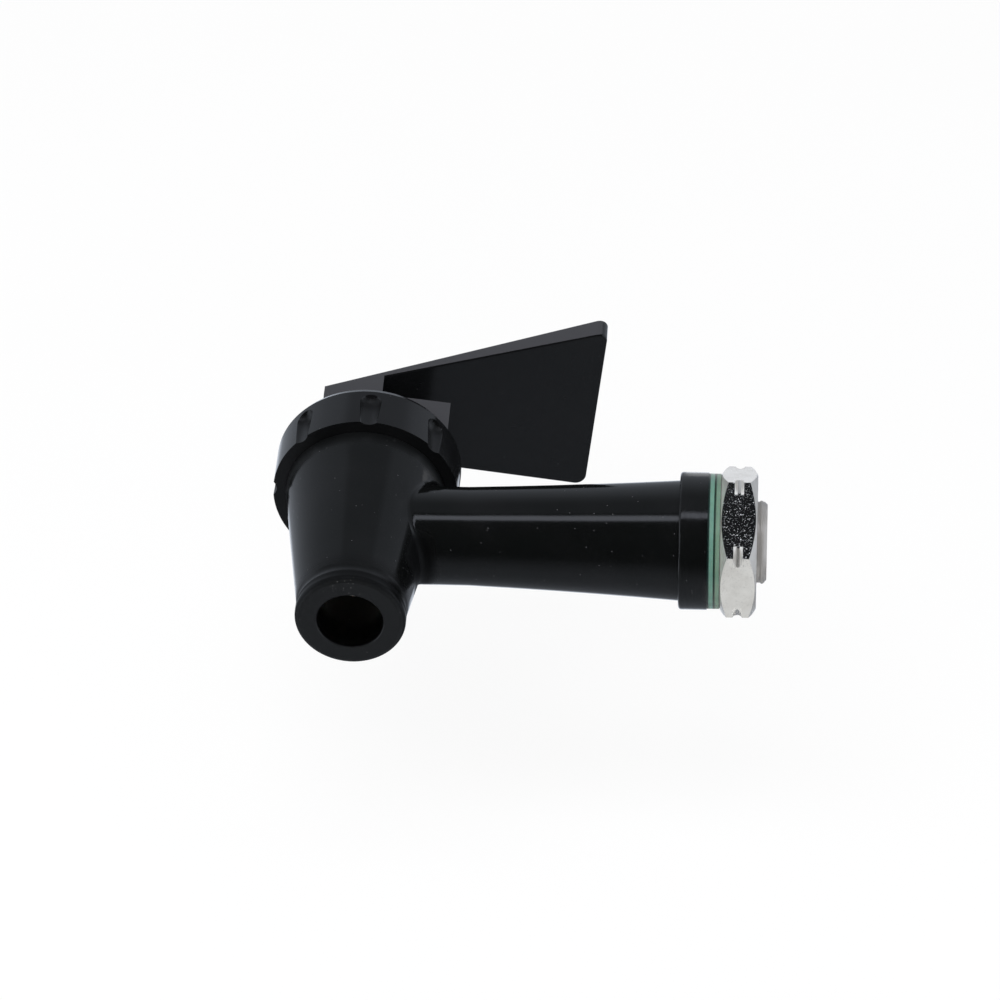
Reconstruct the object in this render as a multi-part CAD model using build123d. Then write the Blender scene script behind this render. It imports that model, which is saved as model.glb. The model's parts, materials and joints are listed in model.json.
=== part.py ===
# Lever faucet for a beverage vessel, in millimetres.
# The origin is the centre of the outlet's mouth, +Z runs up the barrel and +X along the shank.
import math
import os

from build123d import *

# Outlet and barrel
outlet_bore_r = 5.25
outlet_chamfer = 0.25
lip_face_r = 8.0
lip_r = 8.9
lip_round_height = 1.1
lip_height = 2.2
neck_r = 8.72
neck_height = 3.0
barrel_foot_r = 8.92
barrel_foot_height = 4.1
barrel_top_r = 13.2
barrel_top_height = 32.0

# Shank
shank_drop = 10.0
shank_root_r = 8.0
shank_root_x = 17.5
shank_mid_r = 8.72
shank_mid_x = 34.5
shank_end_r = 9.75
collar_r = 11.14
collar_x = 51.76
collar_width = 4.6
collar_edge_round = 0.5
shank_root_fillet = 1.4

# Waterway and valve seat
waterway_r = 4.6
seat_height = 12.0
seat_bead_width = 1.2
seat_bead_height = 0.5
chamber_seat_r = 8.1
chamber_top_r = 10.1

# Bonnet and its thread
bonnet_r = 15.23
bonnet_height = 9.25
bonnet_gap = 0.15
bonnet_roof = 3.45
bonnet_bevel_height = 1.2
bonnet_bevel_width = 0.6
bonnet_thread_r = 12.4
thread_bite = 0.02
grip_count = 8
grip_turn = 3.8
grip_r = 2.0
grip_depth = 0.55
grip_length = 5.45
grip_lean = 6.0

# Nipple, gaskets and nut
nipple_r = 6.7
nipple_start_x = 40.0
nipple_stub = 1.6
nipple_lead_r = 6.55
nipple_chamfer = 0.45
nipple_rib_depth = 0.5
nipple_rib_width = 1.6
gasket_r = 10.95
gasket_thickness = 1.0
gasket_bore_gap = 0.3
nut_across_flats = 22.225
nut_thickness = 5.9
nut_face_ratio = 0.97
nut_chamfer_angle = 30
nut_groove_width = 1.5
nut_groove_steps = 6
nut_groove_r = 12.0
nut_running_gap = 0.06
nut_face_gap = 0.04
nut_corner_angle = 3.0

# Stem, pin and spring
stem_r = 3.0
stem_running_gap = 0.05
stem_flange_r = 5.2
stem_flange_thickness = 1.6
stem_neck_r = 2.0
button_r = 3.4
button_thickness = 2.2
pin_r = 1.5
pin_running_gap = 0.05
pin_bite = 0.01
pin_inset = 0.3
pin_height = 4.5
wire_r = 0.45
spring_r = 4.3
spring_turns = 4
wire_sides = 6
spring_end_gap = 0.05

# Seat cup
cup_plug_r = 7.4
cup_flange_thickness = 1.45
cup_floor = 2.2
cup_gap = 0.3
cup_lip = 1.1
cup_bore_r = 6.2
cup_wall = 1.1
cup_flange_r = 12.2
cup_shoulder_height = 33.0

# Lever; reaches run along it from the stem's axis, heights are above the bonnet
lever_swivel = 7.5
rest_gap = 0.1
heel_reach = 8.95
foot_reach = 12.1
foot_half_width = 8.0
foot_height = 7.55
riser_reach = 0.65
paddle_reach = 36.9
paddle_hub_half_width = 8.58
paddle_splay = 0.2147
paddle_under_height = 11.55
paddle_under_slope = 0.2506
paddle_top_height = 12.83
paddle_top_slope = 0.3331
paddle_corner_round = 1.6
paddle_edge_round = 0.35
fork_side_gap = 0.12
fork_end_gap = 0.3
cam_points = 10
trim_margin = 1.0

# Values that follow from the ones above
collar_end_x = collar_x + collar_width
nut_start_x = collar_end_x + 2 * gasket_thickness + nut_face_gap
nut_end_x = nut_start_x + nut_thickness
nipple_end_x = nut_end_x + nipple_stub
shank_height = barrel_top_height - shank_drop
bonnet_low = barrel_top_height + bonnet_gap
bonnet_top = bonnet_low + bonnet_height
bonnet_ceiling = bonnet_top - bonnet_roof
seat_top = seat_height + seat_bead_height
cup_socket_low = seat_top + cup_floor
button_low = cup_socket_low + cup_gap
button_top = button_low + button_thickness
cup_lip_low = button_top + cup_gap
cup_lip_top = cup_lip_low + cup_lip
flange_low = cup_lip_top + cup_gap
flange_top = flange_low + stem_flange_thickness
barrel_rim = bonnet_ceiling - cup_flange_thickness
pin_z = bonnet_top + pin_height
cam_base_r = (heel_reach - pin_height + rest_gap) / (math.pi / 2)
fork_half_width = stem_r + fork_side_gap


def turned(edges):
    # A solid of revolution about Z from outline edges in the XZ plane.
    return revolve(make_face(edges), Axis.Z)


def ring(outer, inner, length):
    # A plain ring standing on the XY plane.
    base = (Align.CENTER, Align.CENTER, Align.MIN)
    return Cylinder(outer, length, align=base) - Cylinder(inner, length, align=base)


def on_shank(shape, x):
    # Lays a shape made about Z on the shank's axis, starting at x.
    return Pos(x, 0, shank_height) * Rot(0, 90, 0) * shape


def outline(points):
    return [Line(points[i], points[i + 1]) for i in range(len(points) - 1)]


def at(radius, height):
    return (radius, 0, height)


def barrel_outside():
    lip_mid = lip_face_r + (lip_r - lip_face_r) * math.sin(math.pi / 4)
    lip_drop = lip_round_height * (1 - math.cos(math.pi / 4))
    lip = ThreePointArc(at(lip_face_r, 0), at(lip_mid, lip_drop), at(lip_r, lip_round_height))
    low = outline([at(0, barrel_rim), at(0, 0), at(lip_face_r, 0)])
    side = outline([at(lip_r, lip_round_height), at(lip_r, lip_height)])
    neck = ThreePointArc(at(lip_r, lip_height), at(neck_r, neck_height),
                         at(barrel_foot_r, barrel_foot_height))
    top = outline([at(barrel_foot_r, barrel_foot_height), at(barrel_top_r, barrel_top_height),
                   at(bonnet_thread_r, barrel_top_height), at(bonnet_thread_r, barrel_rim),
                   at(0, barrel_rim)])
    return turned(low + [lip] + side + [neck] + top)


def shank_outside():
    flare = ThreePointArc(
        at(shank_root_r, shank_root_x),
        at(shank_mid_r, shank_mid_x),
        at(shank_end_r, collar_x),
    )
    start = outline([at(0, 0), at(shank_root_r, 0), at(shank_root_r, shank_root_x)])
    end = outline([at(shank_end_r, collar_x), at(collar_r, collar_x), at(collar_r, collar_end_x),
                   at(0, collar_end_x), at(0, 0)])
    shank = turned(start + [flare] + end)
    rims = [edge for edge in shank.edges().filter_by(GeomType.CIRCLE)
            if abs(edge.radius - collar_r) < 0.001]
    rim = ShapeList(rims).sort_by(Axis.Z)[0]
    return on_shank(fillet(rim, collar_edge_round), 0)


def chamber():
    # The hollow of the barrel: outlet, raised seat and valve chamber.
    mouth_r = outlet_bore_r + outlet_chamfer
    bead_r = outlet_bore_r + seat_bead_width
    below = -outlet_chamfer
    above = barrel_rim + trim_margin
    return turned(outline([
        at(0, below), at(mouth_r, below), at(mouth_r, 0), at(outlet_bore_r, outlet_chamfer),
        at(outlet_bore_r, seat_top), at(bead_r, seat_top), at(bead_r, seat_height),
        at(chamber_seat_r, seat_height), at(chamber_top_r, above), at(0, above), at(0, below),
    ]))


def nipple():
    # Threaded tube with a rib groove that locks it in the moulding and a plain lead at its end.
    rib_r = nipple_r - nipple_rib_depth
    rib_x = nipple_start_x + 2 * nipple_rib_width
    end_r = nipple_lead_r - nipple_chamfer
    lead_x = nut_end_x + nut_face_gap
    points = [
        at(waterway_r, nipple_start_x), at(nipple_r, nipple_start_x), at(nipple_r, rib_x),
        at(rib_r, rib_x), at(rib_r, rib_x + nipple_rib_width), at(nipple_r, rib_x + nipple_rib_width),
        at(nipple_r, lead_x), at(nipple_lead_r, lead_x),
        at(nipple_lead_r, nipple_end_x - nipple_chamfer), at(end_r, nipple_end_x),
        at(waterway_r, nipple_end_x), at(waterway_r, nipple_start_x),
    ]
    return on_shank(turned(outline(points)), 0)


def nipple_socket():
    # The space that the moulding leaves for the nipple, a trace tighter than the metal.
    bite = thread_bite
    rib_r = nipple_r - nipple_rib_depth - bite
    rib_x = nipple_start_x + 2 * nipple_rib_width + bite
    rib_end = rib_x + nipple_rib_width - 2 * bite
    wall_r = nipple_r - bite
    points = [
        at(0, nipple_start_x), at(wall_r, nipple_start_x), at(wall_r, rib_x), at(rib_r, rib_x),
        at(rib_r, rib_end), at(wall_r, rib_end), at(wall_r, collar_end_x + 1),
        at(0, collar_end_x + 1), at(0, nipple_start_x),
    ]
    return on_shank(turned(outline(points)), 0)


def faucet_body():
    barrel = barrel_outside()
    shank = shank_outside()
    body = barrel + shank
    joint = new_edges(barrel, shank, combined=body)
    body = fillet(joint, shank_root_fillet)
    base = (Align.CENTER, Align.CENTER, Align.MIN)
    waterway = on_shank(Cylinder(waterway_r, collar_end_x, align=base), 0)
    return body - chamber() - waterway - nipple_socket()


def gasket(x):
    return on_shank(ring(gasket_r, nipple_r + gasket_bore_gap, gasket_thickness), x)


def shank_nut():
    face_r = nut_across_flats / 2 * nut_face_ratio
    corner_r = nut_across_flats / math.sqrt(3)
    rise = (corner_r - face_r) * math.tan(math.radians(nut_chamfer_angle))
    envelope = turned(outline([
        at(0, 0), at(face_r, 0), at(corner_r, rise), at(corner_r, nut_thickness - rise),
        at(face_r, nut_thickness), at(0, nut_thickness), at(0, 0),
    ]))
    blank = extrude(RegularPolygon(corner_r, 6), nut_thickness)
    middle = nut_thickness / 2
    turns = [math.pi * i / nut_groove_steps for i in range(nut_groove_steps + 1)]
    hollow = [at(corner_r - (corner_r - nut_groove_r) * math.sin(turn),
                 middle - nut_groove_width / 2 * math.cos(turn)) for turn in turns]
    above = [at(corner_r + trim_margin, middle + nut_groove_width / 2),
             at(corner_r + trim_margin, middle - nut_groove_width / 2)]
    groove = turned(outline(hollow + above + hollow[:1]))
    bore = Cylinder(nipple_r + nut_running_gap, 3 * nut_thickness)
    nut = (blank & envelope) - groove - bore
    # A corner starts on the local X axis, which the shank's turn lays along -Z.
    return on_shank(Rot(0, 0, 90 + nut_corner_angle) * nut, nut_start_x)


def grip_recess():
    # One finger flute, leaning inwards so that it deepens towards its round top end.
    base = (Align.CENTER, Align.CENTER, Align.MIN)
    shaft = Pos(0, 0, -grip_r) * Cylinder(grip_r, grip_length + grip_r, align=base)
    flute = shaft + Pos(0, 0, grip_length) * Sphere(grip_r)
    return Pos(0, -(bonnet_r + grip_r - grip_depth), bonnet_low) * Rot(-grip_lean, 0, 0) * flute


def bonnet():
    base = (Align.CENTER, Align.CENTER, Align.MIN)
    cap = turned(outline([
        at(0, bonnet_low), at(bonnet_r, bonnet_low), at(bonnet_r, bonnet_top - bonnet_bevel_height),
        at(bonnet_r - bonnet_bevel_width, bonnet_top), at(0, bonnet_top), at(0, bonnet_low),
    ]))
    thread = Pos(0, 0, bonnet_low) * Cylinder(
        bonnet_thread_r - thread_bite, bonnet_height - bonnet_roof, align=base)
    cap = cap - thread - Cylinder(stem_r + stem_running_gap, 3 * bonnet_top)
    for i in range(grip_count):
        cap -= Rot(0, 0, grip_turn + i * 360 / grip_count) * grip_recess()
    return cap


def stem():
    top = pin_z + stem_r
    points = [
        at(0, button_low), at(button_r, button_low), at(button_r, button_top),
        at(stem_neck_r, button_top), at(stem_neck_r, flange_low), at(stem_flange_r, flange_low),
        at(stem_flange_r, flange_top), at(stem_r, flange_top), at(stem_r, pin_z),
    ]
    dome = ThreePointArc(
        at(stem_r, pin_z),
        at(stem_r * math.sin(math.pi / 4), pin_z + stem_r * math.cos(math.pi / 4)),
        at(0, top),
    )
    rod = turned(outline(points) + [dome, Line(at(0, top), at(0, button_low))])
    cross_hole = Pos(0, 0, pin_z) * Rot(90, 0, 0) * Cylinder(pin_r - pin_bite, 4 * stem_r)
    return Rot(0, 0, lever_swivel) * (rod - cross_hole)


def handle_pin():
    length = 2 * (paddle_hub_half_width - pin_inset)
    pin = Pos(0, 0, pin_z) * Rot(90, 0, 0) * Cylinder(pin_r, length)
    return Rot(0, 0, lever_swivel) * pin


def spring():
    # Coil with flat end turns between the stem's flange and the bonnet's roof.
    low = flange_top + spring_end_gap + wire_r
    high = bonnet_ceiling - spring_end_gap - wire_r
    steps = 8 * spring_turns
    points = []
    for i in range(steps + 1):
        share = i / steps
        eased = share - math.sin(2 * math.pi * share) / (2 * math.pi)
        turn = 2 * math.pi * spring_turns * share
        points.append((spring_r * math.cos(turn), spring_r * math.sin(turn), low + (high - low) * eased))
    path = Spline(*points)
    section = Plane(origin=path @ 0, z_dir=path % 0) * RegularPolygon(wire_r, wire_sides)
    return sweep(section, path=path)


def seat_cup():
    flange_low_z = barrel_rim
    wall_r = cup_bore_r + cup_wall
    points = [
        at(0, seat_top), at(cup_plug_r, seat_top), at(cup_plug_r, cup_lip_top), at(wall_r, cup_lip_top),
        at(wall_r, cup_shoulder_height), at(chamber_top_r - cup_gap, flange_low_z),
        at(cup_flange_r, flange_low_z), at(cup_flange_r, bonnet_ceiling),
        at(cup_bore_r + cup_wall, bonnet_ceiling), at(cup_bore_r, cup_shoulder_height),
        at(cup_bore_r, cup_lip_top), at(stem_neck_r + cup_gap, cup_lip_top),
        at(stem_neck_r + cup_gap, cup_lip_low), at(button_r + cup_gap, cup_lip_low),
        at(button_r + cup_gap, cup_socket_low), at(0, cup_socket_low), at(0, seat_top),
    ]
    return turned(outline(points))


def heel_point(angle):
    # Point of the heel that touches down when the lever is lifted by the angle: an involute.
    drop = pin_height - rest_gap + cam_base_r * angle
    reach = -cam_base_r * math.cos(angle) - drop * math.sin(angle)
    height = cam_base_r * math.sin(angle) - drop * math.cos(angle)
    return at(reach, height + pin_height)


def lever_side():
    # Side outline of the riser and the paddle.
    quarter = math.pi / 2
    heel = Spline(*[heel_point(quarter * i / cam_points) for i in range(cam_points + 1)])
    past_tip = paddle_reach + trim_margin
    heel_top = paddle_top_height - paddle_top_slope * heel_reach
    tip_low = paddle_under_height + paddle_under_slope * past_tip
    tip_high = paddle_top_height + paddle_top_slope * past_tip
    window_top = paddle_under_height + paddle_under_slope * riser_reach
    back = outline([heel_point(quarter), at(-heel_reach, heel_top), at(past_tip, tip_high),
                    at(past_tip, tip_low), at(riser_reach, window_top), at(riser_reach, rest_gap),
                    heel_point(0)])
    return make_face([heel] + back)


def lever_plan():
    # Plan outline of the riser and the paddle, wider towards the tip.
    past_heel = heel_reach + trim_margin
    heel_half = paddle_hub_half_width - paddle_splay * past_heel
    tip_half = paddle_hub_half_width + paddle_splay * paddle_reach
    plan = make_face(outline([
        (-past_heel, -heel_half), (paddle_reach, -tip_half), (paddle_reach, tip_half),
        (-past_heel, heel_half), (-past_heel, -heel_half),
    ]))
    return fillet(plan.vertices().group_by(Axis.X)[-1], paddle_corner_round)


def lever_blade():
    # Riser and paddle, with the paddle's long edges rounded.
    half_width = paddle_hub_half_width + paddle_splay * paddle_reach + trim_margin
    side = extrude(lever_side(), half_width, dir=(0, 1, 0), both=True)
    height = paddle_top_height + paddle_top_slope * (paddle_reach + trim_margin) + trim_margin
    blade = side & extrude(lever_plan(), height, dir=(0, 0, 1))
    top = blade.faces().sort_by(Axis.Z)[-1]
    under = blade.faces().filter_by(lambda face: face.normal_at().Z < -0.9).sort_by(Axis.Z)[-1]
    rims = top.edges() + [edge for edge in under.edges() if edge.center().X > riser_reach + trim_margin]
    return fillet(rims, paddle_edge_round)


def fork_slot():
    # Room for the stem's head as the lever turns about the pin, open below and at the heel.
    end_r = stem_r + fork_end_gap
    width = 2 * fork_half_width
    round_end = Pos(0, 0, pin_height) * Rot(90, 0, 0) * Cylinder(end_r, width)
    base = (Align.CENTER, Align.CENTER, Align.MAX)
    throat = Pos(0, 0, pin_height) * Box(2 * end_r, width, 2 * pin_height, align=base)
    back = (Align.MAX, Align.CENTER, Align.MAX)
    heel_way = Pos(0, 0, pin_height + end_r) * Box(2 * heel_reach, width, 2 * (pin_height + end_r), align=back)
    return round_end + throat + heel_way


def handle():
    foot_base = (Align.MIN, Align.CENTER, Align.MIN)
    foot = Pos(0, 0, rest_gap) * Box(
        foot_reach, 2 * foot_half_width, foot_height - rest_gap, align=foot_base)
    pin_hole = Pos(0, 0, pin_height) * Rot(90, 0, 0) * Cylinder(pin_r + pin_running_gap, 4 * foot_half_width)
    lever = lever_blade() + foot - fork_slot() - pin_hole
    return Pos(0, 0, bonnet_top) * Rot(0, 0, lever_swivel) * lever


parts = {
    "faucet_body": faucet_body,
    "shank_nipple": nipple,
    "outer_gasket": lambda: gasket(collar_end_x),
    "inner_gasket": lambda: gasket(collar_end_x + gasket_thickness),
    "shank_nut": shank_nut,
    "bonnet": bonnet,
    "handle": handle,
    "handle_pin": handle_pin,
    "stem": stem,
    "spring": spring,
    "seat_cup": seat_cup,
}

os.makedirs("parts", exist_ok=True)
for node, make in parts.items():
    export_step(make(), f"parts/{node}.step")
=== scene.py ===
import bpy
import bmesh
import json
import math
from mathutils import Matrix, Vector


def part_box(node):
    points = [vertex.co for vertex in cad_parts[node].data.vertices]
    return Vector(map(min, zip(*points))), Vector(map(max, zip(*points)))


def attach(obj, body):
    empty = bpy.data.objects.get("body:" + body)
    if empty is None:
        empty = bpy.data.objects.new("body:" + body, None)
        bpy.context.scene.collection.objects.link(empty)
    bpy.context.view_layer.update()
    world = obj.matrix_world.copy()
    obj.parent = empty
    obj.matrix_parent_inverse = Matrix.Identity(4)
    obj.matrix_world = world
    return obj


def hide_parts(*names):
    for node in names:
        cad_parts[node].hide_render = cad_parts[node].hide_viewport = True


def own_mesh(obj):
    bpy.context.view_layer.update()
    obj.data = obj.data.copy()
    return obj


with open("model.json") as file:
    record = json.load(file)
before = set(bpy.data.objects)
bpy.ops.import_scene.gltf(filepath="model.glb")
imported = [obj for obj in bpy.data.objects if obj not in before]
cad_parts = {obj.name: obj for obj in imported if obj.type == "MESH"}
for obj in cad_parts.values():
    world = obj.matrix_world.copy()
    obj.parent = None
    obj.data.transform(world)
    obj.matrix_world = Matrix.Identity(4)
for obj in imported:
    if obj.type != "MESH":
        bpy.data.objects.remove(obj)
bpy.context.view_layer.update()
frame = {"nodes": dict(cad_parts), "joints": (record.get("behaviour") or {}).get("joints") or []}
print("frame loaded:", len(frame["nodes"]), "nodes")

joints = {joint["name"]: joint for joint in frame["joints"]}
shankHeight = joints["nut_turn"]["pos_m"][2]  # the shank's axis above the outlet
white = (1, 1, 1, 1)
bumpDepth = 0.0002


# a node socket that takes plain Python maths
class Wire:
    def __init__(self, tree, socket=None):
        self.tree = tree
        self.socket = socket

    def add(self, kind, settings=None, sockets=None, out=0):
        node = self.tree.nodes.new("ShaderNode" + kind)
        for key, value in (settings or {}).items():
            setattr(node, key, value)
        for key, value in (sockets or {}).items():
            if isinstance(value, Wire):
                self.tree.links.new(value.socket, node.inputs[key])
            else:
                node.inputs[key].default_value = value
        return Wire(self.tree, node.outputs[out] if len(node.outputs) else None)

    def maths(self, operation, a, b=0.0):
        return self.add("Math", {"operation": operation}, {0: a, 1: b})

    def __add__(self, other):
        return self.maths("ADD", self, other)

    __radd__ = __add__

    def __sub__(self, other):
        return self.maths("SUBTRACT", self, other)

    def __rsub__(self, other):
        return self.maths("SUBTRACT", other, self)

    def __mul__(self, other):
        return self.maths("MULTIPLY", self, other)

    __rmul__ = __mul__

    def __truediv__(self, other):
        return self.maths("DIVIDE", self, other)

    def __rtruediv__(self, other):
        return self.maths("DIVIDE", other, self)

    def __pow__(self, other):
        return self.maths("POWER", self, other)

    def __rpow__(self, other):
        return self.maths("POWER", other, self)

    def __lt__(self, other):
        return self.maths("LESS_THAN", self, other)

    def __gt__(self, other):
        return self.maths("GREATER_THAN", self, other)

    def __abs__(self):
        return self.maths("ABSOLUTE", self)


def larger(first, *others):
    for other in others:
        first = first.maths("MAXIMUM", first, other)
    return first


def above(value, span):
    # 0 below the span, 1 past it, smooth between
    low, high = span
    return value.add("MapRange", {"interpolation_type": "SMOOTHSTEP"},
                     {"Value": value, "From Min": low, "From Max": high})


def below(value, span):
    return 1 - above(value, span)


def axes(vector):
    # a vector's x, y and z
    return [vector.add("SeparateXYZ", None, {"Vector": vector}, axis) for axis in "XYZ"]


def facing(coords):
    # which way the surface faces, as x, y and z
    return axes(coords.add("TexCoord", None, None, "Normal"))


def noise(coords, scale, detail, rough=0.55, stretch=None):
    if stretch:
        coords = coords.add("VectorMath", {"operation": "MULTIPLY"}, {0: coords, 1: stretch})
    return coords.add("TexNoise", None, {"Vector": coords, "Scale": scale, "Detail": detail,
                                         "Roughness": rough})


def mixColour(factor, a, b):
    # a Mix node keeps its colours in sockets 6 and 7 and their result in output 2
    return factor.add("Mix", {"data_type": "RGBA"}, {0: factor, 6: a, 7: b}, 2)


def specks(coords, scale, size, share):
    # small round dots with a soft rim: only a share of the cells holds one
    core = 0.6 * size
    cells = {"Vector": coords, "Scale": scale, "Randomness": 1.0}
    near = coords.add("TexVoronoi", None, cells, "Distance")
    tint = coords.add("TexVoronoi", None, cells, "Color")
    red = coords.add("SeparateColor", None, {0: tint}, "Red")
    return below(near, (core, size)) * (red < share)


def flakes(coords, scale):
    # flat crystal facets, each tilted its own way, as a height in metres
    cells = {"Vector": coords, "Scale": scale, "Randomness": 1.0}
    tint = coords.add("TexVoronoi", None, cells, "Color")
    centre = coords.add("TexVoronoi", None, cells, "Position")
    tilt = coords.add("VectorMath", {"operation": "SUBTRACT"}, {0: tint, 1: (0.5, 0.5, 0.5)})
    off = coords.add("VectorMath", {"operation": "SUBTRACT"}, {0: coords, 1: centre})
    return coords.add("VectorMath", {"operation": "DOT_PRODUCT"}, {0: off, 1: tilt}, "Value")


def finish(name, metallic=0.0, ior=1.5, **constants):
    # a new material with its shader, and the object's own coordinates to paint by
    material = bpy.data.materials.new(name)
    material.use_nodes = True
    tree = material.node_tree
    shader = tree.nodes["Principled BSDF"]
    shader.inputs["Metallic"].default_value = metallic
    shader.inputs["IOR"].default_value = ior
    for key, value in constants.items():
        shader.inputs[key.replace("_", " ")].default_value = value
    coords = Wire(tree).add("TexCoord", None, None, "Object")
    return material, shader, coords


def connect(shader, wire, socket):
    wire.tree.links.new(wire.socket, shader.inputs[socket])


def paint(shader, skin, strength):
    # links what changes over the surface
    height = skin["height"]
    relief = height.add("Bump", None, {"Height": height, "Strength": strength, "Distance": bumpDepth})
    connect(shader, skin["base"], "Base Color")
    connect(shader, skin["rough"], "Roughness")
    connect(shader, relief, "Normal")
    if "metal" in skin:
        connect(shader, skin["metal"], "Metallic")


def dress(node, material):
    # the node keeps its mesh and takes the finish
    obj = frame["nodes"][node]
    obj.data.materials.clear()
    obj.data.materials.append(material)


# In a function, s is the settings of its piece. There a pair is the span over which a mask rises: metres
# for a place, 0 to 1 for a tone or a slant. A noise is its scale, detail, roughness and stretch, and specks
# are their scale, size and share.

# moulded black plastic: gloss with ripple, smears, hair scratches and dust
plastic = {
    "cloud": (90, 4), "tones": (0.35, 0.70), "fine": (5200, 2), "ripple": (210, 2),
    "streak": (900, 2, 0.5, (0.12, 1.0, 1.0)), "hairStreak": (0.70, 0.74), "hairCloud": (0.52, 0.60),
    "hairRough": 0.10, "hairDepth": 0.02,
    "dustScale": 1000, "dustSize": 0.11, "dustRough": 0.2, "dustHeight": 0.02, "bump": 0.35,
}


def mouldedBlack(name, s, detail):
    material, shader, coords = finish(name, Specular_IOR_Level=s["gloss"])
    cloud = noise(coords, *plastic["cloud"])
    fine = noise(coords, *plastic["fine"])
    ripple = noise(coords, *plastic["ripple"])
    streak = noise(coords, *plastic["streak"])
    hair = above(streak, plastic["hairStreak"]) * above(cloud, plastic["hairCloud"])
    dust = specks(coords, plastic["dustScale"], plastic["dustSize"], s["dust"])
    rough = s["rough"] + (cloud - 0.5) * s["smear"]
    height = ripple * s["ripple"] + fine * s["grain"]
    skin = {
        "base": mixColour(above(cloud, plastic["tones"]), s["dark"], s["light"]),
        "rough": rough + hair * plastic["hairRough"] + dust * plastic["dustRough"],
        "height": height - hair * plastic["hairDepth"] + dust * plastic["dustHeight"],
        "fine": fine,
    }
    detail(coords, skin, s)
    skin["base"] = mixColour(dust, skin["base"], s["tint"])
    paint(shader, skin, plastic["bump"])
    return material


bodySettings = {
    "dark": (0.0027, 0.0031, 0.0031, 1), "light": (0.0042, 0.0045, 0.0047, 1),
    "tint": (0.06, 0.06, 0.064, 1),
    "gloss": 0.5, "rough": 0.13, "smear": 0.05, "ripple": 0.08, "grain": 0.02, "dust": 0.22,
    # the outlet's cut face, with crumbs of its trimmed gate
    "faceTone": (0.0062, 0.0068, 0.0072, 1), "faceRough": 0.42, "faceGrain": 0.25,
    "faceTop": (0.0004, 0.0011), "faceEdge": (0.0086, 0.0090),
    "gateFrom": (0.0050, 0.0066), "gateHalf": (0.0012, 0.0034),
    "gateCrumbs": (2400, 0.24, 0.30), "strayCrumbs": (2000, 0.16, 0.03), "crumbTone": (0.11, 0.11, 0.11, 1),
    # the bore behind it, darkened with painted shade
    "boreTone": (0.0008, 0.0008, 0.0008, 1), "boreRough": 0.3, "boreMatt": 0.8,
    "boreEdge": (0.00527, 0.00542), "boreTop": (0.030, 0.034),
    # the softer fillet at the shank's root and neck above the lip, with painted shade dulling their
    # reflections
    "coneSlope": 0.1534, "coneFoot": 0.00829, "softRough": 0.44, "softMatt": 0.65,
    "rootSide": (0.80, 0.90), "rootReach": (0.0010, 0.0034),
    "rootFoot": (0.008, 0.011), "rootTop": (0.0150, 0.0172),
    "neckShare": 0.5, "neckFoot": (0.0010, 0.0018), "neckTop": (0.0040, 0.0065),
    # the lip's edge, with painted shade dulling its reflection, and the barrel's brow under the bonnet
    "bandRough": 0.22, "bandMatt": 0.6, "bandEdge": (0.0083, 0.0087), "bandTop": (0.0020, 0.0027),
    "browRough": 0.24, "browFoot": (0.0286, 0.0306), "browReach": (0.0003, 0.0008),
    # the scuffed collar
    "collarFrom": (0.0516, 0.0519), "scuff": (620, 4, 0.65, (2.2, 1.0, 1.0)), "scuffMiddle": 0.42,
    "scuffRough": 0.25, "scuffHeight": 0.2,
}


def bodyZones(coords, s):
    # masks, each 1 inside its zone
    x, y, z = axes(coords)
    radius = (x * x + y * y) ** 0.5
    outside = radius - s["coneSlope"] * z - s["coneFoot"]  # how far out from the barrel's cone
    face = below(z, s["faceTop"]) * below(radius, s["faceEdge"])
    bore = below(radius, s["boreEdge"]) * below(z, s["boreTop"])
    gate = face * above(-1 * y, s["gateFrom"]) * below(abs(x), s["gateHalf"])
    rootBand = above(z, s["rootFoot"]) * below(z, s["rootTop"])
    root = above(x / radius, s["rootSide"]) * below(outside, s["rootReach"]) * rootBand
    neck = above(z, s["neckFoot"]) * below(z, s["neckTop"])
    band = above(radius, s["bandEdge"]) * below(z, s["bandTop"])
    brow = above(z, s["browFoot"]) * below(outside, s["browReach"])
    collar = above(x, s["collarFrom"])
    return face, bore, gate, root + neck * s["neckShare"], band, brow, collar


def bodyDetail(coords, skin, s):
    face, bore, gate, soft, band, brow, collar = bodyZones(coords, s)
    crumbs = specks(coords, *s["gateCrumbs"]) * gate + specks(coords, *s["strayCrumbs"]) * face
    scuff = noise(coords, *s["scuff"])
    skin["base"] = mixColour(face, skin["base"], s["faceTone"])
    skin["base"] = mixColour(crumbs, skin["base"], s["crumbTone"])
    # painted shade: the bore takes a darker tone than the plastic
    skin["base"] = mixColour(bore, skin["base"], s["boreTone"])
    skin["rough"] += face * (s["faceRough"] - s["rough"]) + bore * s["boreRough"]
    skin["rough"] += collar * (scuff - s["scuffMiddle"]) * s["scuffRough"]
    skin["rough"] += soft * s["softRough"] + band * s["bandRough"] + brow * s["browRough"]
    skin["height"] += face * skin["fine"] * s["faceGrain"] + collar * scuff * s["scuffHeight"]
    # near-black metal takes the gloss off the lip's edge, the root and the bore: painted shade in place of
    # their reflections
    skin["metal"] = larger(band * s["bandMatt"], soft * s["softMatt"], bore * s["boreMatt"])


bonnetSettings = {
    "dark": (0.0030, 0.0032, 0.0035, 1), "light": (0.0045, 0.0047, 0.0051, 1),
    "tint": (0.045, 0.045, 0.048, 1),
    "gloss": 0.39, "rough": 0.15, "smear": 0.04, "ripple": 0.05, "grain": 0.02, "dust": 0.03,
    "fluteRough": 0.26, "fluteInset": (0.00004, 0.00022), "fluteTop": (0.0388, 0.0392),
}


def bonnetDetail(coords, skin, s):
    x, y, z = axes(coords)
    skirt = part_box("bonnet")[1][0]  # the skirt's radius
    inset = skirt - (x * x + y * y) ** 0.5
    flute = above(inset, s["fluteInset"]) * below(z, s["fluteTop"])
    skin["rough"] += flute * s["fluteRough"]  # the grip recesses are less polished than the skirt


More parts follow.
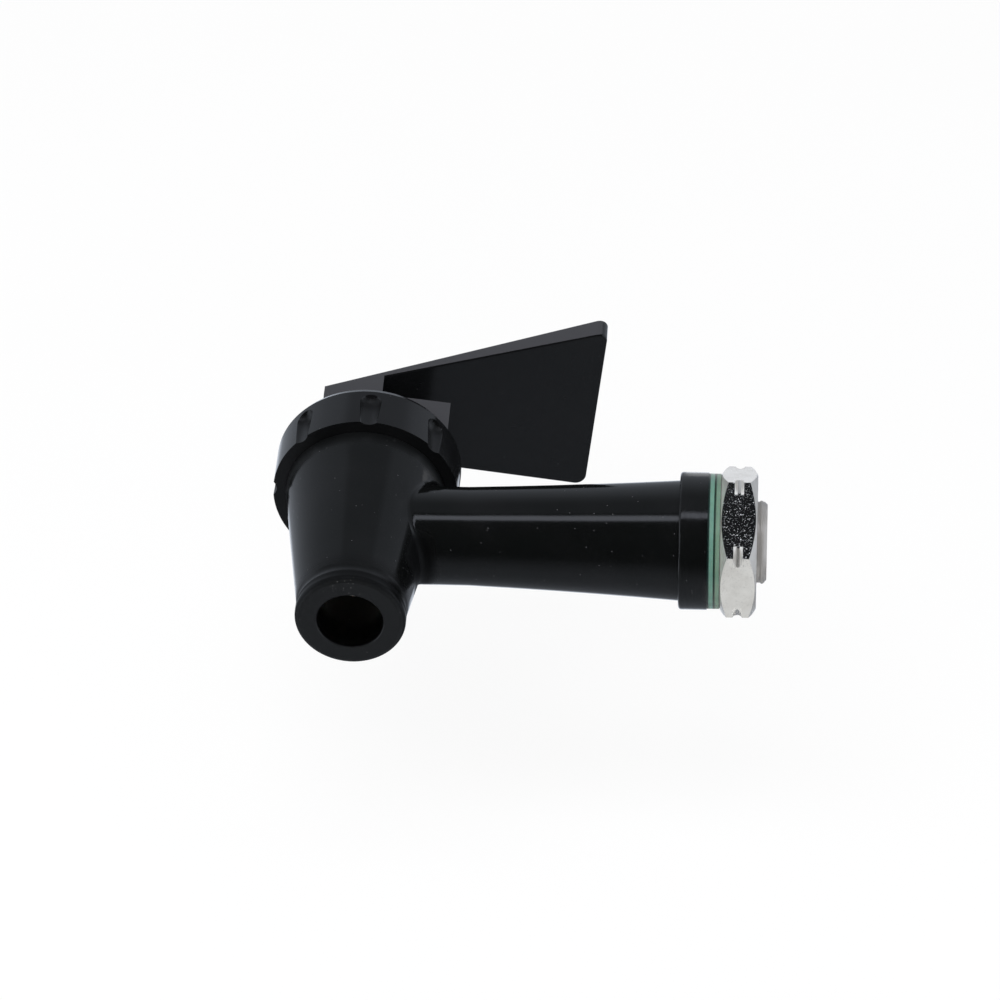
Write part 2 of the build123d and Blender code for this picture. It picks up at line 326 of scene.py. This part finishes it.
leverSettings = {
    "dark": (0.0036, 0.0037, 0.0042, 1), "light": (0.0046, 0.0047, 0.0053, 1),
    "tint": (0.04, 0.04, 0.043, 1),
    "gloss": 0.36, "rough": 0.10, "smear": 0.03, "ripple": 0.03, "grain": 0.02, "dust": 0.02,
    "sideTone": (0.0430, 0.0430, 0.0475, 1), "sideRough": 0.30, "sideGrain": 0.10, "sideTurn": (0.80, 0.93),
    "underTone": (0.0050, 0.0055, 0.0062, 1), "underRough": 0.21, "underTurn": (0.86, 0.95),
}


def leverDetail(coords, skin, s):
    across, upward = facing(coords)[1:]
    sides = above(abs(across), s["sideTurn"])  # the moulded side faces are satin, with a lighter painted tone for the light they catch
    under = above(-1 * upward, s["underTurn"])  # and so, a little less, is the underside
    # painted light: the side faces take a lighter tone than the rest of the lever
    skin["base"] = mixColour(sides, skin["base"], s["sideTone"])
    skin["base"] = mixColour(under, skin["base"], s["underTone"])
    skin["rough"] += sides * (s["sideRough"] - s["rough"]) + under * (s["underRough"] - s["rough"])
    skin["height"] += sides * skin["fine"] * s["sideGrain"]


dress("faucet_body", mouldedBlack("bodyBlack", bodySettings, bodyDetail))
dress("bonnet", mouldedBlack("bonnetBlack", bonnetSettings, bonnetDetail))
dress("handle", mouldedBlack("leverBlack", leverSettings, leverDetail))
print("black plastic dressed")

# matt silicone with mottling, dust and a moulded skin
rubber = {
    "ior": 1.42, "milk": 0.12, "milkDepth": 0.001, "sheen": 0.3, "sheenRough": 0.4,
    "cloud": (260, 4), "tones": (0.3, 0.7), "fine": (3800, 2), "smear": 0.2, "ripple": 0.4, "grain": 0.15,
    "dust": (700, 0.12, 0.05), "dustTone": (0.5, 0.52, 0.48, 1), "dustRough": 0.2, "bump": 0.3,
}
# each gasket's rim towards the body is darkened with painted shade
gasketSettings = [
    {"node": "outer_gasket", "name": "gasketMint", "rough": 0.42,
     "deep": (0.085, 0.19, 0.15, 1), "pale": (0.13, 0.26, 0.20, 1),
     "paintedShade": (0.002, 0.012, 0.010, 1), "paintedShadeReach": (0.00022, 0.00045)},
    {"node": "inner_gasket", "name": "gasketSage", "rough": 0.42,
     "deep": (0.097, 0.175, 0.125, 1), "pale": (0.138, 0.225, 0.165, 1),
     "paintedShade": (0.005, 0.020, 0.012, 1), "paintedShadeReach": (0.00022, 0.00045)},
]


def silicone(s):
    material, shader, coords = finish(s["name"], ior=rubber["ior"], Subsurface_Weight=rubber["milk"],
                                      Subsurface_Scale=rubber["milkDepth"], Sheen_Weight=rubber["sheen"],
                                      Sheen_Roughness=rubber["sheenRough"])
    cloud = noise(coords, *rubber["cloud"])
    fine = noise(coords, *rubber["fine"])
    dust = specks(coords, *rubber["dust"])
    base = mixColour(above(cloud, rubber["tones"]), s["deep"], s["pale"])
    if "paintedShade" in s:  # painted shade darkens the rim towards the body
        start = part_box(s["node"])[0][0]
        fromBody = axes(coords)[0] - start
        base = mixColour(above(fromBody, s["paintedShadeReach"]), s["paintedShade"], base)
    skin = {
        "base": mixColour(dust, base, rubber["dustTone"]),
        "rough": s["rough"] + (cloud - 0.5) * rubber["smear"] + dust * rubber["dustRough"],
        "height": cloud * rubber["ripple"] + fine * rubber["grain"],
    }
    paint(shader, skin, rubber["bump"])
    return material


for gasketSet in gasketSettings:
    dress(gasketSet["node"], silicone(gasketSet))
print("gaskets dressed")

# plated and drawn metal with clouding, stains and grain
metal = {
    "cloud": (190, 5), "tones": (0.25, 0.62), "grainDetail": 3, "grainRough": 0.65,
    "stain": (520, 4, 0.7), "stainFrom": (0.58, 0.78), "stainTone": 0.3, "stainHeight": 0.02, "bump": 0.5,
}


def platedMetal(name, s, detail=None):
    material, shader, coords = finish(name, metallic=s["metallic"])
    cloud = noise(coords, *metal["cloud"])
    grain = noise(coords, s["grain"], metal["grainDetail"], metal["grainRough"])
    stain = above(noise(coords, *metal["stain"]), metal["stainFrom"])
    base = mixColour(above(cloud, metal["tones"]), s["dark"], s["light"])
    skin = {
        "base": mixColour(stain * metal["stainTone"], base, s["dark"]),
        "rough": s["rough"] + (cloud - 0.5) * s["smear"] + stain * s["smear"],
        "height": grain * s["sparkle"] + stain * metal["stainHeight"],
    }
    if detail:
        detail(coords, skin, s)
    paint(shader, skin, metal["bump"])
    return material


nutSettings = {
    "dark": (0.66, 0.64, 0.61, 1), "light": (0.78, 0.77, 0.74, 1), "metallic": 1.0,
    "rough": 0.05, "smear": 0.02, "sparkle": 0.012, "grain": 2800,
    # the walls of the turned groove and the chamfered rims are left matt
    "grooveFrom": (0.01186, 0.01200), "grooveFloor": (0.00018, 0.00032), "grooveHalf": (0.00070, 0.00078),
    "grooveRough": 0.3, "grooveMatt": 0.36,
    "rimTurn": (0.2, 0.35), "rimRough": 0.25, "rimMatt": 0.33,
    # tilted crystals that sparkle on a dark side
    "flakeScale": 7000, "flakeHeight": 1900, "flakePatch": (4300, 1), "flakeFrom": (0.652, 0.677),
}


def nutDetail(coords, skin, s):
    x, y, z = axes(coords)
    low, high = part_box("shank_nut")
    rise = z - shankHeight
    radius = (y * y + rise * rise) ** 0.5
    off = abs(x - (low[0] + high[0]) / 2)  # from the groove's middle
    walls = above(off, s["grooveFloor"]) * below(off, s["grooveHalf"])
    groove = above(radius, s["grooveFrom"]) * walls
    rim = above(abs(facing(coords)[0]), s["rimTurn"])
    patch = above(noise(coords, *s["flakePatch"]), s["flakeFrom"])
    skin["rough"] += groove * s["grooveRough"] + rim * s["rimRough"]
    skin["height"] += flakes(coords, s["flakeScale"]) * patch * s["flakeHeight"]
    skin["metal"] = 1 - larger(groove * s["grooveMatt"], rim * s["rimMatt"])


nippleSettings = {
    "dark": (0.40, 0.38, 0.36, 1), "light": (0.50, 0.48, 0.46, 1), "metallic": 0.45,
    "rough": 0.36, "smear": 0.12, "sparkle": 0.12, "grain": 1700,
}
wireSettings = {
    "dark": (0.42, 0.42, 0.43, 1), "light": (0.62, 0.62, 0.63, 1), "metallic": 1.0,
    "rough": 0.26, "smear": 0.12, "sparkle": 0.10, "grain": 2400,
}
pinSettings = dict(wireSettings, rough=0.18)  # the same steel, ground

nutPlated = platedMetal("nutPlated", nutSettings, nutDetail)
nipplePlated = platedMetal("nipplePlated", nippleSettings)
springSteel = platedMetal("springSteel", wireSettings)
pinSteel = platedMetal("pinSteel", pinSettings)
dress("shank_nut", nutPlated)
dress("shank_nipple", nipplePlated)
dress("handle_pin", pinSteel)
print("metal dressed")

# stem: pale moulded nylon
stemSettings = {
    "dark": (0.58, 0.57, 0.52, 1), "light": (0.70, 0.69, 0.64, 1), "rough": 0.38, "smear": 0.15,
    "ior": 1.53, "milk": 0.1, "milkDepth": 0.001, "cloud": (240, 3), "tones": (0.3, 0.7),
    "fine": (4200, 2), "ripple": 0.2, "grain": 0.2, "bump": 0.3,
}


def mouldedNylon(name, s):
    material, shader, coords = finish(name, ior=s["ior"], Subsurface_Weight=s["milk"],
                                      Subsurface_Scale=s["milkDepth"])
    cloud = noise(coords, *s["cloud"])
    fine = noise(coords, *s["fine"])
    skin = {
        "base": mixColour(above(cloud, s["tones"]), s["dark"], s["light"]),
        "rough": s["rough"] + (cloud - 0.5) * s["smear"],
        "height": fine * s["grain"] + cloud * s["ripple"],
    }
    paint(shader, skin, s["bump"])
    return material


dress("stem", mouldedNylon("stemNylon", stemSettings))
print("stem dressed")


def newPiece(name, mesh, material, body):
    obj = bpy.data.objects.new(name, mesh)
    bpy.context.scene.collection.objects.link(obj)
    mesh.materials.append(material)
    for face in mesh.polygons:
        face.use_smooth = True
    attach(obj, body)
    return obj


def loftRings(name, rings):
    # rings of points joined by quads, closed at both ends
    mesh = bpy.data.meshes.new(name)
    build = bmesh.new()
    rows = [[build.verts.new(point) for point in ring] for ring in rings]
    count = len(rows[0])
    for low, high in zip(rows, rows[1:]):
        for i in range(count):
            j = (i + 1) % count
            build.faces.new((low[i], low[j], high[j], high[i]))
    build.faces.new(list(reversed(rows[0])))
    build.faces.new(rows[-1])
    bmesh.ops.recalc_face_normals(build, faces=build.faces)
    build.to_mesh(mesh)
    build.free()
    return mesh


# spring: a round wire coil with its end turns closed and flat
springSettings = {
    "wireRadius": 0.00045, "coilRadius": 0.0043, "low": 0.02055, "high": 0.0379,
    "turns": 6.5, "flatTurns": 0.9, "flatRise": 0.00012, "ease": 0.12,
    "stepsPerTurn": 28, "wireSides": 10, "keep": 0.745,
}


def coilSpring(s, material):
    steps = int(s["turns"] * s["stepsPerTurn"])
    low = s["low"] + s["wireRadius"]
    rise = s["high"] - s["low"] - 2 * s["wireRadius"]
    openTurns = s["turns"] - 2 * s["flatTurns"]
    rings = []
    for i in range(steps + 1):
        turn = s["turns"] * i / steps
        share = min(max((turn - s["flatTurns"]) / openTurns, 0), 1)
        eased = share * share * (3 - 2 * share)
        share += (eased - share) * s["ease"]  # the pitch opens and closes gently
        centre = Vector((0, 0, low + rise * share + s["flatRise"] * min(turn, s["flatTurns"])))
        angle = 2 * math.pi * turn
        out = Vector((math.cos(angle), math.sin(angle), 0))
        ring = []
        for k in range(s["wireSides"]):
            a = 2 * math.pi * k / s["wireSides"]
            ring.append(centre + out * (s["coilRadius"] + s["wireRadius"] * math.cos(a))
                        + Vector((0, 0, s["wireRadius"] * math.sin(a))))
        rings.append(ring)
    piece = newPiece("coilSpring", loftRings("coilSpring", rings), material, "coil")
    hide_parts("spring")
    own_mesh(piece)


coilSpring(springSettings, springSteel)
print("spring wound")

# seat cup: milky silicone under the bonnet
cupSettings = {
    "name": "cupSilicone", "rough": 0.5, "keep": 0.828,
    "deep": (0.60, 0.58, 0.52, 1), "pale": (0.72, 0.70, 0.65, 1),
}


def foldingCup(s):
    mesh = frame["nodes"]["seat_cup"].data.copy()
    mesh.materials.clear()
    piece = newPiece("foldingCup", mesh, silicone(s), "housing")
    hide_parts("seat_cup")
    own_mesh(piece)


foldingCup(cupSettings)
print("seat cup fitted")

# the first turn of thread on the nipple's free end, fading out at both ends
threadSettings = {
    "rootRadius": 0.00645, "crest": 0.00027, "fadedCrest": 0.00012, "sunk": 0.0002,
    "halfWidth": 0.00045, "crestShare": 0.25, "fromEnd": 0.00115, "rise": 0.0005,
    "turns": 0.94, "startAngle": 0.6, "fadeSteepness": 9, "steps": 150,
}


def nippleThread(s, material):
    root = s["rootRadius"]
    flat = s["crestShare"]
    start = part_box("shank_nipple")[1][0] - s["fromEnd"]
    rings = []
    for i in range(s["steps"] + 1):
        share = i / s["steps"]
        fade = min(1.0, share * s["fadeSteepness"], (1 - share) * s["fadeSteepness"])
        crest = root + s["fadedCrest"] + (s["crest"] - s["fadedCrest"]) * fade
        angle = 2 * math.pi * s["turns"] * share + s["startAngle"]
        out = Vector((0, math.cos(angle), math.sin(angle)))
        middle = Vector((start + s["rise"] * share, 0, shankHeight))
        profile = [(-1.0, root - s["sunk"]), (-1.0, root), (-flat, crest),
                   (flat, crest), (1.0, root), (1.0, root - s["sunk"])]
        rings.append([middle + Vector((w * s["halfWidth"], 0, 0)) + out * r for w, r in profile])
    newPiece("nippleThread", loftRings("nippleThread", rings), material, "housing")


nippleThread(threadSettings, nipplePlated)
print("thread cut")

# pale floor behind the object, as the camera sees it
floorSettings = {
    "y": 0.055, "half": 1.6, "cloud": (9, 2), "tones": (0.3, 0.7),
    "dark": (0.86, 0.86, 0.86, 1), "light": (0.90, 0.90, 0.90, 1), "cameraWhite": 0.88,
}


def makeFloor(s):
    h = s["half"]
    mesh = bpy.data.meshes.new("floor")
    corners = [(-h, s["y"], -h), (h, s["y"], -h), (h, s["y"], h), (-h, s["y"], h)]
    mesh.from_pydata(corners, [], [(0, 1, 2, 3)])
    floor = bpy.data.objects.new("floor", mesh)
    bpy.context.scene.collection.objects.link(floor)
    material = bpy.data.materials.new("floorWhite")
    material.use_nodes = True
    tree = material.node_tree
    tree.nodes.clear()
    start = Wire(tree)
    coords = start.add("TexCoord", None, None, "Object")
    paper = mixColour(above(noise(coords, *s["cloud"]), s["tones"]), s["dark"], s["light"])
    matt = {"Base Color": paper, "Roughness": 1.0, "Specular IOR Level": 0.0}
    cover = start.add("BsdfPrincipled", None, matt)
    glow = start.add("Emission", None, {"Color": white, "Strength": 1.0})
    seen = start.add("LightPath", None, None, "Is Camera Ray")
    gloss = start.add("LightPath", None, None, "Is Glossy Ray")
    front = start.add("MixShader", None, {0: seen * s["cameraWhite"], 1: cover, 2: glow})
    clear = start.add("BsdfTransparent", None, {"Color": white})
    back = start.add("NewGeometry", None, None, "Backfacing")
    away = larger(back, gloss)  # gloss sees the studio's own tones behind the floor
    whole = start.add("MixShader", None, {0: away, 1: front, 2: clear})
    start.add("OutputMaterial", None, {"Surface": whole})
    mesh.materials.append(material)


makeFloor(floorSettings)
print("floor laid")

# studio tones: white to the eye, and in gloss a pale table, a grey wall and a dark side towards the viewer
worldSettings = {
    "fill": 0.40, "cool": (0.91, 0.98, 1.10, 1), "near": 0.013,
    "wallTop": 0.25, "wallFoot": 0.55, "wallRise": (0.45, 0.95), "wallEdge": (0.0, 0.12),
    "gap": 0.33, "gapLeft": (-0.38, -0.24), "gapRight": (0.40, 0.54),
    "table": 0.24, "tableRise": (0.0, 0.7), "card": 0.9, "cardFrom": (0.78, 0.92),
    "far": 1.0, "farWay": (-0.057, 0.628, 0.776), "farFrom": (0.90, 0.985),
}


def makeWorld(s):
    world = bpy.data.worlds.new("studio")
    bpy.context.scene.world = world
    world.use_nodes = True
    tree = world.node_tree
    tree.nodes.clear()
    start = Wire(tree)
    way = start.add("TexCoord", None, None, "Generated")
    side, down, away = axes(way)
    gap = above(side, s["gapLeft"]) * below(side, s["gapRight"])  # dimmer middle of the wall
    wall = s["wallTop"] + above(away, s["wallRise"]) * (s["wallFoot"] - s["wallTop"])
    wall = wall * above(away, s["wallEdge"]) * (1 - gap * s["gap"])
    table = above(down, s["tableRise"]) * s["table"]
    cards = above(abs(side), s["cardFrom"]) * s["card"]  # white cards past both ends
    ahead = start.add("VectorMath", {"operation": "DOT_PRODUCT"}, {0: way, 1: s["farWay"]}, "Value")
    far = above(ahead, s["farFrom"]) * s["far"]  # the white table straight behind the object
    mirrored = larger(wall, table, cards, far) + s["near"]
    seen = start.add("LightPath", None, None, "Is Camera Ray")
    gloss = start.add("LightPath", None, None, "Is Glossy Ray")
    through = start.add("LightPath", None, None, "Is Transmission Ray")
    mirror = larger(gloss, through)
    tone = s["fill"] * (1 - mirror) + mirrored * mirror
    tone = tone * (1 - seen) + seen
    tint = mixColour(mirror, white, s["cool"])
    shade = start.add("Background", None, {"Color": tint, "Strength": tone})
    start.add("OutputWorld", None, {"Surface": shade})


makeWorld(worldSettings)

# soft boxes: three round the middle of the object, and two small cards close to the nut
objectMiddle = (0.026, 0.0, 0.03)
lampSettings = [
    {"name": "topStrip", "at": objectMiddle, "from": (0.0, -0.9890, -0.1478), "away": 0.8,
     "size": (0.14, 1.2), "power": 0.95, "tint": (0.92, 0.97, 1.10), "gloss": True},
    {"name": "nutCard", "at": (0.06325, 0.0, 0.022), "from": (0.0, 0.69, -0.72), "away": 0.030,
     "size": (0.026, 0.0135), "power": 0.00060, "tint": (1.0, 0.99, 0.95), "gloss": True},
    {"name": "nutTop", "at": (0.0600, -0.00985, 0.0325), "from": (-0.057, 0.276, 0.959), "away": 0.030,
     "size": (0.020, 0.0125), "power": 0.00037, "tint": (1.0, 0.99, 0.98), "gloss": True},
    {"name": "softTop", "at": objectMiddle, "from": (-0.2, -0.9, -0.35), "away": 1.0,
     "size": (0.8, 0.8), "power": 7.5, "tint": (1.0, 1.0, 1.0), "gloss": False},
    {"name": "frontFill", "at": objectMiddle, "from": (0.057, -0.628, -0.776), "away": 1.0,
     "size": (0.6, 0.6), "power": 2.5, "tint": (1.0, 1.0, 1.0), "gloss": False},
]


def makeLamp(s):
    data = bpy.data.lights.new(s["name"], "AREA")
    data.shape = "RECTANGLE"
    data.size, data.size_y = s["size"]
    data.energy = s["power"]
    data.color = s["tint"]
    lamp = bpy.data.objects.new(s["name"], data)
    bpy.context.scene.collection.objects.link(lamp)
    back = Vector(s["from"]).normalized()
    along = Vector((1, 0, 0))  # the second side lies along the shank
    width = along.cross(back).normalized()
    turn = Matrix((width, back.cross(width), back)).transposed()
    lamp.matrix_world = Matrix.Translation(Vector(s["at"]) + back * s["away"]) @ turn.to_4x4()
    lamp.visible_camera = False
    lamp.visible_glossy = s["gloss"]


for lampSet in lampSettings:
    makeLamp(lampSet)
print("studio lit")

# camera fitted to the photograph
cameraSettings = {
    "place": (0.067182, -0.494002, -0.578886), "lens": 172.94, "sensor": 36,
    "clipNear": 0.01, "clipFar": 20,
    "right": (0.998159, 0.020575, 0.057050), "up": (-0.019864, -0.777884, 0.628094),
    "back": (0.057301, -0.628071, -0.776043),
}


def makeCamera(s):
    data = bpy.data.cameras.new("photoCamera")
    data.lens = s["lens"]
    data.sensor_width = s["sensor"]
    data.clip_start = s["clipNear"]
    data.clip_end = s["clipFar"]
    camera = bpy.data.objects.new("photoCamera", data)
    bpy.context.scene.collection.objects.link(camera)
    turn = Matrix((s["right"], s["up"], s["back"])).transposed()
    camera.matrix_world = Matrix.Translation(s["place"]) @ turn.to_4x4()
    bpy.context.scene.camera = camera


makeCamera(cameraSettings)
bpy.context.scene.view_settings.view_transform = "Standard"
print("camera set")

bpy.context.view_layer.update()
